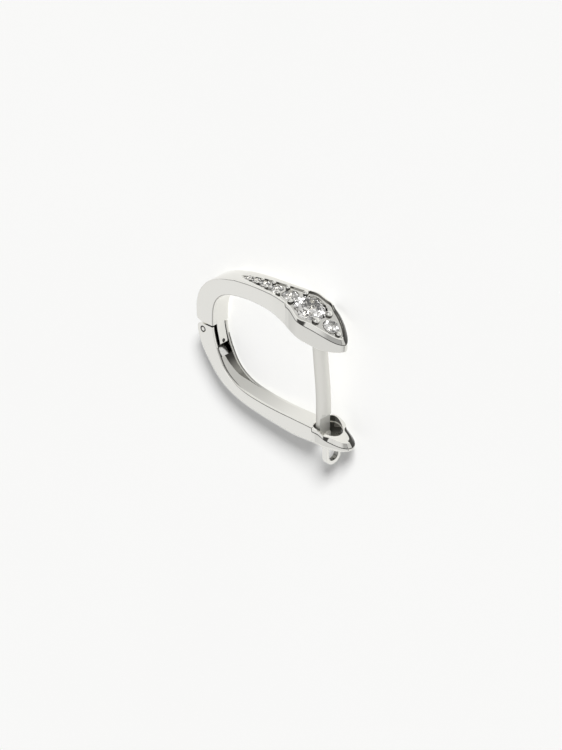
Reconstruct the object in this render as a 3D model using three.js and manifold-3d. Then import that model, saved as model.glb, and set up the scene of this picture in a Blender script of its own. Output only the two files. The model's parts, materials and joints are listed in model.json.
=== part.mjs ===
// A hinged hoop earring with a pointed, stone-set head.
//
// Everything is in millimetres. The pieces are drawn with the hoop upright, in the hoop's own frame:
// X runs from the hinge towards the two pointed ends, Y runs across the band, and Z runs from the
// lower, back arm up to the upper, front arm. The last lines lay the finished hoop down on its side,
// where it rests on its far edges, with +Z up.

import * as THREE from 'three';
import { mergeVertices } from 'three/addons/utils/BufferGeometryUtils.js';
import Module from 'manifold-3d';

const wasm = await Module();
wasm.setup();

// ---------------------------------------------------------------- driving dimensions

// Hinge: the front arm's tongue turns on a pin between the two cheeks of the back arm.
const hingeHalfWidth = 0.76;
const jointGap = 0.10;
const cornerRound = 0.42;
const pivot = { x: -0.88, z: -0.42 };
const pinRadius = 0.20;
const pinClearance = 0.04;
const cheekWall = 0.24;
const tongueSideGap = 0.16;
const tongueHalfWidth = hingeHalfWidth - cheekWall - tongueSideGap;
const knuckleRadius = 0.52;
const knuckleClearRadius = 0.72;

// Tongue seen from the side, from the knuckle round the pin to the rounded nose that the spring
// presses on, and back up to the band. The dimple lies in the face towards the middle of the hoop.
const tongueBack = { x: -1.30, z: 0.60 };
const tongueNose = [
  { x: -0.62, z: -1.02 },
  { x: -0.30, z: -1.36 },
  { x: -0.14, z: -1.45 },
  { x: 0.06, z: -1.46 },
  { x: 0.26, z: -1.40 },
  { x: 0.33, z: -1.28 },
  { x: 0.30, z: -1.15 },
  { x: 0.10, z: -0.30 },
  { x: -0.02, z: 0.60 },
];
const dimple = { x: 0.28, z: -1.02, radius: 0.13, length: 0.5 };

// Head of the front arm: a raised rim round the stones, sloping down to the tip. The rim bows up a
// little on the way, by `bow` at most, and its outline runs full past the corner.
const head = {
  startX: 7.15, startHalf: 1.27, cornerX: 8.60, cornerHalf: 1.68, tipX: 11.42,
  rimZ: 4.32, rimAtX: 8.40, slope: -0.44, rimHeight: 0.25, chamfer: 0.26, rimWidth: 0.11,
  pocketDepth: 0.30, full: 0.90, fullAt: 0.42, blunt: 0.36, baseX: 7.60,
  bow: 0.20, bowFromX: 7.90, bowToX: 11.60,
};

// Tip of the back arm: a smaller plain collar of the same outline, round the post's hole.
const tip = {
  startX: 9.15, startHalf: 0.85, cornerX: 10.45, cornerHalf: 1.12, tipX: 12.06,
  rimZ: -4.08, rimAtX: 10.50, slope: -0.27, rimHeight: 0.25, chamfer: 0.24,
  full: 0.80, fullAt: 0.39, blunt: 0.66, bow: 0, bowFromX: 9.15, bowToX: 12.06,
};

// Beside the hole the collar's far wall stands up as a lip: its top edge seen from the side.
const farLip = {
  innerY: 0.56,
  top: [
    { x: 9.06, z: -4.05 },
    { x: 9.15, z: -3.76 },
    { x: 9.50, z: -3.64 },
    { x: 9.90, z: -3.72 },
    { x: 10.25, z: -3.90 },
    { x: 10.56, z: -4.10 },
  ],
};

// Ear post, soldered under the head, and the strap that guards its end under the tip.
const postRadius = 0.50;
const postRoute = [
  { x: 8.98, z: 3.10 },
  { x: 9.22, z: 0.60 },
  { x: 9.42, z: -1.60 },
  { x: 9.45, z: -3.60 },
  { x: 9.40, z: -5.27 },
];
const postEnd = 0.24;
const postNotch = { topZ: -3.35, bottomZ: -4.55, depth: 0.36, shoulder: 0.32 };
const guard = { x: 10.20, width: 0.42, outerRadius: 0.72, strap: 0.28, topZ: -4.75, bottomZ: -6.62 };

// The hole that the post drops into, pear-shaped so that the curved post clears it as it swings.
const postHoleHalfWidths = [
  { x: 8.80, half: 0 },
  { x: 8.90, half: 0.36 },
  { x: 9.30, half: 0.60 },
  { x: 9.90, half: 0.72 },
  { x: 10.45, half: 0.62 },
  { x: 10.78, half: 0.32 },
  { x: 10.86, half: 0 },
];

// Stones: brilliants, set with their tables level with the rim. Sizes are girdle diameters.
const stoneGap = 0.04;
const cut = { crown: 0.15, girdle: 0.03, pavilion: 0.42, table: 0.56 };
const centreStone = { x: 8.17, diameter: 2.28 };
const tipStone = { x: 10.12, diameter: 1.10 };
const bandStones = [
  { x: 2.62, diameter: 0.50 },
  { x: 3.30, diameter: 0.60 },
  { x: 4.12, diameter: 0.74 },
  { x: 5.16, diameter: 0.92 },
  { x: 6.42, diameter: 1.12 },
];

// Beads raised from the metal in pairs to hold the stones, and one at the tip of the head.
const beadPairs = [
  { x: 2.96, y: 0.20, radius: 0.11 },
  { x: 3.68, y: 0.26, radius: 0.13 },
  { x: 4.60, y: 0.36, radius: 0.15 },
  { x: 5.76, y: 0.48, radius: 0.17 },
  { x: 7.12, y: 0.74, radius: 0.20 },
  { x: 9.34, y: 0.63, radius: 0.26 },
];
const tipBead = { x: 10.76, radius: 0.20 };
const beadStemLength = 0.6;

// Groove cut in the top of the band for the row of stones: half widths along the band, and the
// point inside the head's pocket where it ends.
const grooveDepth = 0.22;
const grooveEndX = 8.5;
const grooveHalfWidths = [
  { x: 2.00, half: 0.05 },
  { x: 2.70, half: 0.29 },
  { x: 4.10, half: 0.43 },
  { x: 5.20, half: 0.56 },
  { x: 6.40, half: 0.75 },
  { x: 7.30, half: 1.00 },
];

// Front arm seen from the side, then its half width seen from above.
const frontOuterEdge = [
  { x: -1.50, z: jointGap + cornerRound },
  { x: -1.47, z: 1.50 },
  { x: -1.12, z: 2.56 },
  { x: -0.35, z: 3.44 },
  { x: 0.70, z: 4.02 },
  { x: 2.10, z: 4.43 },
  { x: 3.70, z: 4.66 },
  { x: 5.50, z: 4.76 },
  { x: 7.05, z: 4.74 },
];
const frontInnerEdge = [
  { x: 0.00, z: 1.15 },
  { x: 0.22, z: 1.97 },
  { x: 0.72, z: 2.63 },
  { x: 1.40, z: 3.04 },
  { x: 2.60, z: 3.36 },
  { x: 4.40, z: 3.53 },
  { x: 6.00, z: 3.38 },
  { x: 7.60, z: 3.00 },
  { x: 9.00, z: 2.72 },
  { x: 10.30, z: 2.34 },
  { x: 11.90, z: 2.20 },
];
const frontHalfWidths = [
  { x: -1.70, half: hingeHalfWidth },
  { x: 0.20, half: hingeHalfWidth + 0.02 },
  { x: 1.50, half: 0.86 },
  { x: 3.00, half: 0.92 },
  { x: 4.60, half: 0.95 },
  { x: 5.80, half: 1.05 },
  { x: head.startX, half: head.startHalf },
  { x: 7.82, half: 1.48 },
  { x: head.cornerX, half: head.cornerHalf },
];

// Back arm, in the same way.
const backOuterEdge = [
  { x: -1.43, z: -cornerRound },
  { x: -1.28, z: -1.07 },
  { x: -0.93, z: -2.05 },
  { x: 0.00, z: -3.38 },
  { x: 0.73, z: -4.04 },
  { x: 1.66, z: -4.55 },
  { x: 2.90, z: -4.92 },
  { x: 4.40, z: -5.17 },
  { x: 5.90, z: -5.34 },
  { x: 7.20, z: -5.42 },
  { x: 8.60, z: -5.28 },
  { x: 10.20, z: -5.04 },
  { x: 12.60, z: -4.98 },
];
const backInnerEdge = [
  { x: 0.00, z: -0.20 },
  { x: 0.18, z: -0.96 },
  { x: 0.48, z: -1.75 },
  { x: 0.95, z: -2.60 },
  { x: 1.62, z: -3.27 },
  { x: 2.55, z: -3.72 },
  { x: 3.90, z: -3.97 },
  { x: 5.60, z: -4.07 },
  { x: 7.50, z: -4.07 },
  { x: 9.40, z: -4.05 },
];
const backHalfWidths = [
  { x: -1.70, half: hingeHalfWidth },
  { x: 2.00, half: hingeHalfWidth },
  { x: 5.00, half: hingeHalfWidth },
  { x: 7.60, half: 0.78 },
  { x: tip.startX, half: tip.startHalf },
  { x: tip.cornerX, half: tip.cornerHalf },
];

// Hollow of the back arm: a deep pocket for the tongue, which leaves an outer wall 0.28 thick, then
// a shallow channel that runs out.
const channelHalfWidth = hingeHalfWidth - cheekWall;
const pocketOutline = [
  { x: -1.15, z: 0.50 },
  { x: -1.15, z: -0.60 },
  { x: -1.00, z: -1.15 },
  { x: -0.78, z: -1.75 },
  { x: 1.50, z: -1.75 },
  { x: 1.50, z: 0.50 },
];
const channelFloor = [
  { x: -0.50, z: -1.60 },
  { x: 0.10, z: -2.10 },
  { x: 0.62, z: -2.80 },
  { x: 1.30, z: -3.38 },
  { x: 2.60, z: -3.80 },
];

// Leaf spring: a bent strip between the pocket's floor and the end of the tongue.
const springRoute = [
  { x: 0.42, z: -2.24 },
  { x: 0.02, z: -1.86 },
  { x: -0.40, z: -1.56 },
  { x: -0.68, z: -1.28 },
];
const springThickness = 0.10;
const springHalfWidth = 0.30;

const curveSteps = 3;
const pointSteps = 12;
const roundSegments = 20;
const farAway = 20;

// Facets finer than this are left over from the cuts and are merged away.
const finestEdge = 0.003;

// ---------------------------------------------------------------- solids

const polishedMetal = new THREE.MeshStandardMaterial({ color: 0xd9d8d4, roughness: 0.12, metalness: 1 });
const springSteel = new THREE.MeshStandardMaterial({ color: 0xc4c4c2, roughness: 0.25, metalness: 1 });
const clearStone = new THREE.MeshStandardMaterial({ color: 0xf1f3f5, roughness: 0.02, metalness: 0 });

function toSolid(geometry) {
  geometry.deleteAttribute('normal');
  geometry.deleteAttribute('uv');
  const merged = mergeVertices(geometry, 1e-5);
  const mesh = new wasm.Mesh({
    numProp: 3,
    vertProperties: merged.attributes.position.array,
    triVerts: new Uint32Array(merged.index.array),
  });
  return new wasm.Manifold(mesh);
}

function toMesh(name, solid, material) {
  const { numProp, vertProperties, triVerts } = solid.simplify(finestEdge).getMesh();
  const geometry = new THREE.BufferGeometry();
  const positions = new Float32Array((vertProperties.length / numProp) * 3);
  for (let i = 0; i < positions.length / 3; i += 1) {
    for (let k = 0; k < 3; k += 1) {
      positions[3 * i + k] = vertProperties[numProp * i + k];
    }
  }
  geometry.setAttribute('position', new THREE.BufferAttribute(positions, 3));
  geometry.setIndex(new THREE.BufferAttribute(new Uint32Array(triVerts), 1));
  geometry.computeVertexNormals();
  const mesh = new THREE.Mesh(geometry, material);
  mesh.name = name;
  return mesh;
}

const sidePoint = ({ x, z }) => new THREE.Vector2(x, z);

// A slab with an outline in the X-Z plane, from y = -halfWidth to y = halfWidth.
function sideSlab(shape, halfWidth) {
  const geometry = new THREE.ExtrudeGeometry(shape, {
    depth: 2 * halfWidth, bevelEnabled: false, curveSegments: curveSteps,
  });
  geometry.rotateX(Math.PI / 2);
  geometry.translate(0, halfWidth, 0);
  return toSolid(geometry);
}

// A slab with an outline in the X-Y plane, between two heights.
function planSlab(points, lowZ, highZ) {
  const geometry = new THREE.ExtrudeGeometry(new THREE.Shape(points), {
    depth: highZ - lowZ, bevelEnabled: false,
  });
  geometry.translate(0, 0, lowZ);
  return toSolid(geometry);
}

// A round bar along Y.
function crossBar(x, z, radius, halfLength) {
  const geometry = new THREE.CylinderGeometry(radius, radius, 2 * halfLength, roundSegments);
  geometry.translate(x, 0, z);
  return toSolid(geometry);
}

// Half of an outline that runs to a rounded point: it leaves the corner nearly straight and
// comes to the tip at right angles to the middle line. full and blunt are how full the outline is
// past the corner and at the point.
function pointCurve(cornerX, cornerHalf, tipX, { full, fullAt, blunt }) {
  const length = tipX - cornerX;
  const curve = new THREE.CubicBezierCurve(
    new THREE.Vector2(cornerX, cornerHalf),
    new THREE.Vector2(cornerX + fullAt * length, cornerHalf * full),
    new THREE.Vector2(tipX, cornerHalf * blunt),
    new THREE.Vector2(tipX, 0),
  );
  return curve.getPoints(pointSteps);
}

// A closed outline from its half with y > 0, which runs from the hinge end to the tip.
function mirrored(half) {
  const back = half.filter((point) => point.y > 1e-6).reverse();
  return [...half, ...back.map((point) => new THREE.Vector2(point.x, -point.y))];
}

const planPoint = ({ x, half }) => new THREE.Vector2(x, half);

function armPlan(rows, end) {
  const sides = new THREE.SplineCurve(rows.map(planPoint));
  const point = pointCurve(end.cornerX, end.cornerHalf, end.tipX, end);
  return mirrored([...sides.getPoints(curveSteps * rows.length), ...point.slice(1)]);
}

// The height of a rim's top, which changes along X only: a slope, bowed up a little.
function rimHeightAt(end, x) {
  const along = Math.min(1, Math.max(0, (x - end.bowFromX) / (end.bowToX - end.bowFromX)));
  return end.rimZ + end.slope * (x - end.rimAtX) + end.bow * Math.sin(Math.PI * along) ** 2;
}

// A closed body through rings of points with equal counts, each ring at its own drop below the
// rim's top. The rings are listed from the lowest to the highest.
function rimLoft(end, rings) {
  const count = rings[0].points.length;
  const positions = [];
  for (const { points, drop } of rings) {
    for (const { x, y } of points) {
      positions.push(x, y, rimHeightAt(end, x) - drop);
    }
  }
  const index = [];
  const top = (rings.length - 1) * count;
  for (const [a, b, c] of THREE.ShapeUtils.triangulateShape(rings[0].points, [])) {
    index.push(a, c, b);
  }
  for (const [a, b, c] of THREE.ShapeUtils.triangulateShape(rings.at(-1).points, [])) {
    index.push(top + a, top + b, top + c);
  }
  for (let ring = 0; ring < rings.length - 1; ring += 1) {
    for (let i = 0; i < count; i += 1) {
      const next = (i + 1) % count;
      const low = ring * count;
      const high = low + count;
      index.push(low + i, high + i, low + next, low + next, high + i, high + next);
    }
  }
  const geometry = new THREE.BufferGeometry();
  geometry.setAttribute('position', new THREE.Float32BufferAttribute(positions, 3));
  geometry.setIndex(index);
  return toSolid(geometry);
}

// Outline of a head or tip, drawn in by `side` at its sides and by `start` at its hinge end.
function endOutline(end, { start, side, point }) {
  const startHalf = end.startHalf - start;
  const cornerHalf = end.cornerHalf - side;
  const first = [
    new THREE.Vector2(end.startX, startHalf),
    new THREE.Vector2((end.startX + end.cornerX) / 2, (startHalf + cornerHalf) / 2),
  ];
  const last = pointCurve(end.cornerX + 0.3 * side, cornerHalf, end.tipX - point, end);
  return mirrored([...first, ...last]);
}

// The raised rim: upright at the hinge end, chamfered from its corner to its point.
function raisedRim(end) {
  const ledge = 0.03;
  const rooted = 0.30;
  const outer = endOutline(end, { start: ledge, side: ledge, point: ledge });
  const inner = endOutline(end, { start: ledge, side: end.chamfer, point: 0.7 * end.chamfer });
  return rimLoft(end, [
    { points: outer, drop: end.rimHeight + rooted },
    { points: outer, drop: end.rimHeight },
    { points: inner, drop: 0 },
  ]);
}

// ---------------------------------------------------------------- stones and beads

const sectionPoints = (rows) => rows.map(([radius, height]) => new THREE.Vector2(radius, height));

function placedOnRim(geometry, x, z, slope) {
  geometry.rotateX(Math.PI / 2);
  geometry.rotateY(-Math.atan(slope));
  geometry.translate(x, 0, z);
  return geometry;
}

function stoneGeometry(diameter, sides) {
  const radius = diameter / 2;
  return new THREE.LatheGeometry(sectionPoints([
    [0, -cut.pavilion * diameter],
    [radius, -cut.girdle * diameter],
    [radius, 0],
    [cut.table * radius, cut.crown * diameter],
    [0, cut.crown * diameter],
  ]), sides);
}

// What the setter's burr takes out for a stone: a cone below the girdle, open above it.
function seatGeometry(diameter, sides) {
  const radius = diameter / 2 + stoneGap;
  const tableRadius = cut.table * diameter / 2 + stoneGap;
  const top = cut.crown * diameter;
  const open = 1;
  return new THREE.LatheGeometry(sectionPoints([
    [0, -cut.pavilion * diameter - 1.5 * stoneGap],
    [radius, -cut.girdle * diameter - stoneGap],
    [radius, stoneGap],
    [tableRadius, top + stoneGap],
    [tableRadius, top + open],
    [0, top + open],
  ]), sides);
}

const bandTop = new THREE.SplineCurve(frontOuterEdge.map(sidePoint)).getPoints(400);

// Height and slope of the metal that stones and beads are set in: the band's top, read along its
// outer edge, and past its end the head's rim. The stones' tables stand just above it.
function settingAt(x) {
  if (x > frontOuterEdge.at(-1).x) {
    const slope = (rimHeightAt(head, x + 0.05) - rimHeightAt(head, x - 0.05)) / 0.1;
    return { z: rimHeightAt(head, x), slope, tableAbove: 0.10 };
  }
  const after = bandTop.findIndex((point) => point.x > x && point.y > 2);
  const [a, b] = [bandTop[after - 1], bandTop[after]];
  const slope = (b.y - a.y) / (b.x - a.x);
  return { z: a.y + slope * (x - a.x), slope, tableAbove: 0.02 };
}

function seatOf({ x, diameter }) {
  const { z, slope, tableAbove } = settingAt(x);
  return { x, diameter, slope, z: z + tableAbove - cut.crown * diameter };
}

const stones = [
  { name: 'centre_stone', sides: 16, seat: seatOf(centreStone) },
  { name: 'tip_stone', sides: 12, seat: seatOf(tipStone) },
  ...bandStones.map((stone, i) => ({ name: `band_stone_${i + 1}`, sides: 12, seat: seatOf(stone) })),
];

function bead(x, y, radius) {
  const { z } = settingAt(x);
  const geometry = new THREE.SphereGeometry(radius, 8, 6);
  geometry.translate(x, y, z - 0.25 * radius);
  return toSolid(geometry);
}

// A stem under each bead, so that it stands on the floor of the groove or pocket.
function beadStem(x, y, radius) {
  const { z } = settingAt(x);
  const geometry = new THREE.CylinderGeometry(0.85 * radius, radius, beadStemLength, 8);
  geometry.rotateX(Math.PI / 2);
  geometry.translate(x, y, z - 0.25 * radius - beadStemLength / 2);
  return toSolid(geometry);
}

// ---------------------------------------------------------------- front arm

function frontSide() {
  const base = (x) => rimHeightAt(head, x) - head.rimHeight;
  const endX = 12;
  const baseSteps = 11;
  const shape = new THREE.Shape();
  shape.moveTo(0, jointGap);
  shape.lineTo(frontInnerEdge[0].x, frontInnerEdge[0].z);
  shape.splineThru(frontInnerEdge.slice(1).map(sidePoint));
  for (let i = 0; i <= baseSteps; i += 1) {
    const x = endX + (head.baseX - endX) * i / baseSteps;
    shape.lineTo(x, base(x));
  }
  shape.lineTo(frontOuterEdge.at(-1).x, frontOuterEdge.at(-1).z);
  shape.splineThru(frontOuterEdge.slice(0, -1).reverse().map(sidePoint));
  const arcX = frontOuterEdge[0].x + cornerRound;
  shape.absarc(arcX, jointGap + cornerRound, cornerRound, Math.PI, 1.5 * Math.PI, false);
  return shape;
}

function tongueSide() {
  const shape = new THREE.Shape();
  shape.moveTo(tongueBack.x, tongueBack.z);
  shape.lineTo(tongueBack.x, 0);
  shape.absarc(pivot.x, pivot.z, knuckleRadius, 0.80 * Math.PI, 1.42 * Math.PI, false);
  for (const { x, z } of tongueNose) shape.lineTo(x, z);
  return shape;
}

function camDimple() {
  const geometry = new THREE.CylinderGeometry(dimple.radius, dimple.radius, dimple.length, 12);
  geometry.rotateZ(Math.PI / 2);
  geometry.translate(dimple.x, 0, dimple.z);
  return toSolid(geometry);
}

function grooveCutter() {
  const lowZ = 2;
  const highZ = 6;
  const half = new THREE.SplineCurve(grooveHalfWidths.map(planPoint));
  const plan = planSlab(mirrored(half.getPoints(curveSteps * grooveHalfWidths.length)), lowZ, highZ);
  const floor = frontOuterEdge.slice(4).map(({ x, z }) => new THREE.Vector2(x, z - grooveDepth));
  const shape = new THREE.Shape();
  shape.moveTo(floor[0].x, floor[0].y);
  shape.splineThru(floor.slice(1));
  shape.lineTo(grooveEndX, floor.at(-1).y);
  shape.lineTo(grooveEndX, highZ);
  shape.lineTo(floor[0].x, highZ);
  return plan.intersect(sideSlab(shape, head.cornerHalf));
}

function headPocket() {
  const wall = head.chamfer + head.rimWidth;
  const outline = endOutline(head, { start: head.rimWidth, side: wall, point: 1.6 * wall });
  return rimLoft(head, [
    { points: outline, drop: head.pocketDepth },
    { points: outline, drop: -0.6 },
  ]);
}

function earPost() {
  const route = new THREE.CatmullRomCurve3(postRoute.map(({ x, z }) => new THREE.Vector3(x, 0, z)));
  const section = new THREE.Shape();
  section.absarc(0, 0, postRadius, 0, 2 * Math.PI, false);
  const rod = toSolid(new THREE.ExtrudeGeometry(section, {
    steps: 12, curveSegments: 9, extrudePath: route, bevelEnabled: false,
  }));
  const { x, z } = postRoute.at(-1);
  const end = new THREE.CylinderGeometry(postRadius, 0.62 * postRadius, postEnd, 18);
  end.rotateX(Math.PI / 2);
  end.translate(x, 0, z - 0.3 * postEnd);
  return rod.add(toSolid(end)).subtract(postNotchCutter());
}

// The catch notch: a step filed into the tip side of the post, with a slanted upper shoulder.
function postNotchCutter() {
  const { bottomZ, topZ, depth, shoulder } = postNotch;
  const postSide = postRoute.at(-2).x + postRadius;
  const shape = new THREE.Shape();
  shape.moveTo(postSide - depth, bottomZ);
  shape.lineTo(farAway, bottomZ);
  shape.lineTo(farAway, topZ + shoulder);
  shape.lineTo(postSide, topZ + shoulder);
  shape.lineTo(postSide - depth, topZ);
  return sideSlab(shape, 2 * postRadius);
}

function frontArm() {
  const plan = planSlab(armPlan(frontHalfWidths, head), -farAway, farAway);
  let arm = sideSlab(frontSide(), farAway)
    .intersect(plan)
    .add(raisedRim(head))
    .subtract(headPocket())
    .subtract(grooveCutter());
  for (const { x, y, radius } of beadPairs) {
    for (const side of [-1, 1]) {
      arm = arm.add(bead(x, side * y, radius)).add(beadStem(x, side * y, radius));
    }
  }
  arm = arm.add(bead(tipBead.x, 0, tipBead.radius)).add(beadStem(tipBead.x, 0, tipBead.radius));
  for (const { sides, seat } of stones) {
    const cutter = placedOnRim(seatGeometry(seat.diameter, sides), seat.x, seat.z, seat.slope);
    arm = arm.subtract(toSolid(cutter));
  }
  const tongue = sideSlab(tongueSide(), tongueHalfWidth)
    .subtract(crossBar(pivot.x, pivot.z, pinRadius + pinClearance, hingeHalfWidth))
    .subtract(camDimple());
  return arm.add(tongue).add(earPost());
}

// ---------------------------------------------------------------- back arm

function backSide() {
  const base = (x) => rimHeightAt(tip, x) - tip.rimHeight;
  const endX = backOuterEdge.at(-1).x;
  const arcX = backOuterEdge[0].x + cornerRound;
  const shape = new THREE.Shape();
  shape.moveTo(0, 0);
  shape.absarc(arcX, -cornerRound, cornerRound, 0.5 * Math.PI, Math.PI, false);
  shape.splineThru(backOuterEdge.slice(1).map(sidePoint));
  shape.lineTo(endX, base(endX));
  shape.lineTo(backInnerEdge.at(-1).x, backInnerEdge.at(-1).z);
  shape.splineThru(backInnerEdge.slice(0, -1).reverse().map(sidePoint));
  return shape;
}

// The deep pocket that the tongue swings in, open towards the middle of the hoop.
function pocketCutter() {
  return sideSlab(new THREE.Shape(pocketOutline.map(sidePoint)), channelHalfWidth);
}

function channelCutter() {
  const openZ = -1.0;
  const floor = channelFloor.map(sidePoint);
  const shape = new THREE.Shape();
  shape.moveTo(floor[0].x, floor[0].y);
  shape.splineThru(floor.slice(1));
  shape.lineTo(floor.at(-1).x, openZ);
  shape.lineTo(floor[0].x, openZ);
  return sideSlab(shape, channelHalfWidth);
}

function postHole() {
  const half = new THREE.SplineCurve(postHoleHalfWidths.map(planPoint));
  return planSlab(mirrored(half.getPoints(curveSteps * 6)).slice(0, -1), -farAway, tip.rimZ + 1);
}

function collarLip(plan) {
  const rooted = 0.4;
  const top = farLip.top.map(sidePoint);
  const shape = new THREE.Shape([
    ...top,
    new THREE.Vector2(top.at(-1).x, top.at(-1).y - rooted),
    new THREE.Vector2(top[0].x, top[0].y - rooted),
  ]);
  const farSide = planSlab([
    new THREE.Vector2(top[0].x, farLip.innerY),
    new THREE.Vector2(top.at(-1).x, farLip.innerY),
    new THREE.Vector2(top.at(-1).x, tip.cornerHalf),
    new THREE.Vector2(top[0].x, tip.cornerHalf),
  ], -farAway, farAway);
  return sideSlab(shape, farAway).intersect(plan).intersect(farSide);
}

function guardStrap() {
  const { outerRadius, strap, topZ, bottomZ } = guard;
  const centreZ = bottomZ + outerRadius;
  const shape = new THREE.Shape();
  shape.moveTo(-outerRadius, topZ);
  shape.lineTo(-outerRadius, centreZ);
  shape.absarc(0, centreZ, outerRadius, Math.PI, 2 * Math.PI, false);
  shape.lineTo(outerRadius, topZ);
  shape.lineTo(outerRadius - strap, topZ);
  shape.absarc(0, centreZ, outerRadius - strap, 2 * Math.PI, Math.PI, true);
  shape.lineTo(strap - outerRadius, topZ);
  const geometry = new THREE.ExtrudeGeometry(shape, {
    depth: guard.width, bevelEnabled: false, curveSegments: roundSegments / 2,
  });
  geometry.rotateX(Math.PI / 2);
  geometry.rotateZ(Math.PI / 2);
  geometry.translate(guard.x - guard.width / 2, 0, 0);
  return toSolid(geometry);
}

function backArm() {
  const plan = planSlab(armPlan(backHalfWidths, tip), -farAway, farAway);
  return sideSlab(backSide(), farAway)
    .intersect(plan)
    .add(raisedRim(tip))
    .add(collarLip(plan))
    .subtract(pocketCutter())
    .subtract(channelCutter())
    .subtract(crossBar(pivot.x, pivot.z, knuckleClearRadius, channelHalfWidth))
    .subtract(crossBar(pivot.x, pivot.z, pinRadius + pinClearance, farAway))
    .subtract(postHole())
    .add(guardStrap());
}

// ---------------------------------------------------------------- small parts

function springLeaf() {
  const route = new THREE.CatmullRomCurve3(springRoute.map(({ x, z }) => new THREE.Vector3(x, 0, z)));
  const halfThickness = springThickness / 2;
  const section = new THREE.Shape();
  section.moveTo(-springHalfWidth, -halfThickness);
  section.lineTo(springHalfWidth, -halfThickness);
  section.lineTo(springHalfWidth, halfThickness);
  section.lineTo(-springHalfWidth, halfThickness);
  return toSolid(new THREE.ExtrudeGeometry(section, {
    steps: 8, extrudePath: route, bevelEnabled: false,
  }));
}

// ---------------------------------------------------------------- the whole earring

const hoop = new THREE.Group();
hoop.add(toMesh('front_arm', frontArm(), polishedMetal));
hoop.add(toMesh('back_arm', backArm(), polishedMetal));
hoop.add(toMesh('hinge_pin', crossBar(pivot.x, pivot.z, pinRadius, hingeHalfWidth), polishedMetal));
hoop.add(toMesh('snap_spring', springLeaf(), springSteel));
for (const { name, sides, seat } of stones) {
  const geometry = placedOnRim(stoneGeometry(seat.diameter, sides), seat.x, seat.z, seat.slope);
  hoop.add(toMesh(name, toSolid(geometry), clearStone));
}

// Laid on its far side, the hoop rests on the corner of the head, which stands wider than the band,
// and on the outer edge of the back arm below the hinge, so that it leans by about five degrees.
const restPoints = [
  new THREE.Vector3(head.cornerX, head.cornerHalf, 2.81),
  new THREE.Vector3(-0.21, hingeHalfWidth, -3.11),
  new THREE.Vector3(0.06, hingeHalfWidth, -3.45),
];
const [first, second, third] = restPoints;
const downwards = new THREE.Vector3()
  .crossVectors(second.clone().sub(first), third.clone().sub(first))
  .normalize();
if (downwards.y < 0) downwards.negate();
hoop.quaternion.setFromUnitVectors(downwards, new THREE.Vector3(0, 0, -1));

// The origin lies under the middle of the earring, on the surface that it rests on.
const earring = new THREE.Group();
earring.add(hoop);
const bounds = new THREE.Box3().setFromObject(earring, true);
const middle = bounds.getCenter(new THREE.Vector3());
hoop.position.set(-middle.x, -middle.y, -bounds.min.z);

export default earring;
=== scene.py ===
# %% [markdown]
# # A hinged hoop earring in polished metal and clear stones
#
# The construction model gives the size and place of every piece. Here each piece gets its finished
# surface: rounded edges, cut facets and real materials. All shapes are first drawn in millimetres
# with the hoop upright, because that is how a jeweller would draw it, and are then laid down on
# their side and turned into metres.

# %% Load the construction model
import json
import math

import bmesh
import bpy
from mathutils import Matrix, Vector


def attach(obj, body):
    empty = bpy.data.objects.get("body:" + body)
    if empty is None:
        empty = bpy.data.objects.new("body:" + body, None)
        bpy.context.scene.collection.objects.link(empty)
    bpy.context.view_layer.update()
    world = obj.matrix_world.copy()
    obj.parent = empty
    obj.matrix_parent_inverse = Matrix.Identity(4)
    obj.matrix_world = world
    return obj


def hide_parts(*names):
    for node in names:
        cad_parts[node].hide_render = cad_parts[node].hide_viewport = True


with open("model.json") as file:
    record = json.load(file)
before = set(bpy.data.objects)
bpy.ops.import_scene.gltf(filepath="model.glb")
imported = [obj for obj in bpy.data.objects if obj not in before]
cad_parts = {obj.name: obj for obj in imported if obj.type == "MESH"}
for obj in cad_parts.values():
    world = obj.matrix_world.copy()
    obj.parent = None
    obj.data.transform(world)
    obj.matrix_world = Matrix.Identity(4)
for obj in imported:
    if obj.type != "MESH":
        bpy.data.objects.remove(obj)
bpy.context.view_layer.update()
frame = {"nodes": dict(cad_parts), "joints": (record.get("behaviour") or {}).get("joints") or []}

print("pieces in the model:", ", ".join(sorted(frame["nodes"])))

# %% [markdown]
# ## From the upright hoop to the hoop on its side
#
# Upright, X runs from the hinge to the points, Y across the band and Z from the lower arm to the
# upper one. The earring lies on three points of its far side: the corner of the head and two
# points of the lower arm below the hinge. The shortest turn that brings their plane down to the
# floor gives the rotation, and the hinge's own place gives the shift.

# %% Lay the hoop on its side
PIVOT = Vector((-0.88, 0, -0.42))
REST_POINTS = Vector((8.60, 1.68, 2.81)), Vector((-0.21, 0.76, -3.11)), Vector((0.06, 0.76, -3.45))

first, second, third = REST_POINTS
downwards = (second - first).cross(third - first).normalized()
if downwards.y < 0:
    downwards.negate()
turn = downwards.rotation_difference(Vector((0, 0, -1))).to_matrix()
hinge = frame["joints"][0]
shift = Vector(hinge["pos_m"]) - turn @ (PIVOT / 1000)
lay_down = Matrix.Translation(shift) @ turn.to_4x4() @ Matrix.Scale(0.001, 4)
print("the hoop leans by %.1f degrees" % math.degrees(math.acos(downwards.y)))

# %% [markdown]
# ## Small helpers for making and finishing a mesh
#
# Boolean and Bevel are used as modifiers and then made real, so that every piece ends as a plain
# mesh. After the last cut, edges sharper than thirty degrees are marked sharp and the Weighted
# Normal modifier makes large faces keep their own direction. On mirror-polished metal this matters
# more than the number of faces: one bent normal shows as a smear.

# %% Helpers for meshes
def new_object(name, mesh):
    piece = bpy.data.objects.new(name, mesh)
    bpy.context.scene.collection.objects.link(piece)
    return piece


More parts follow.
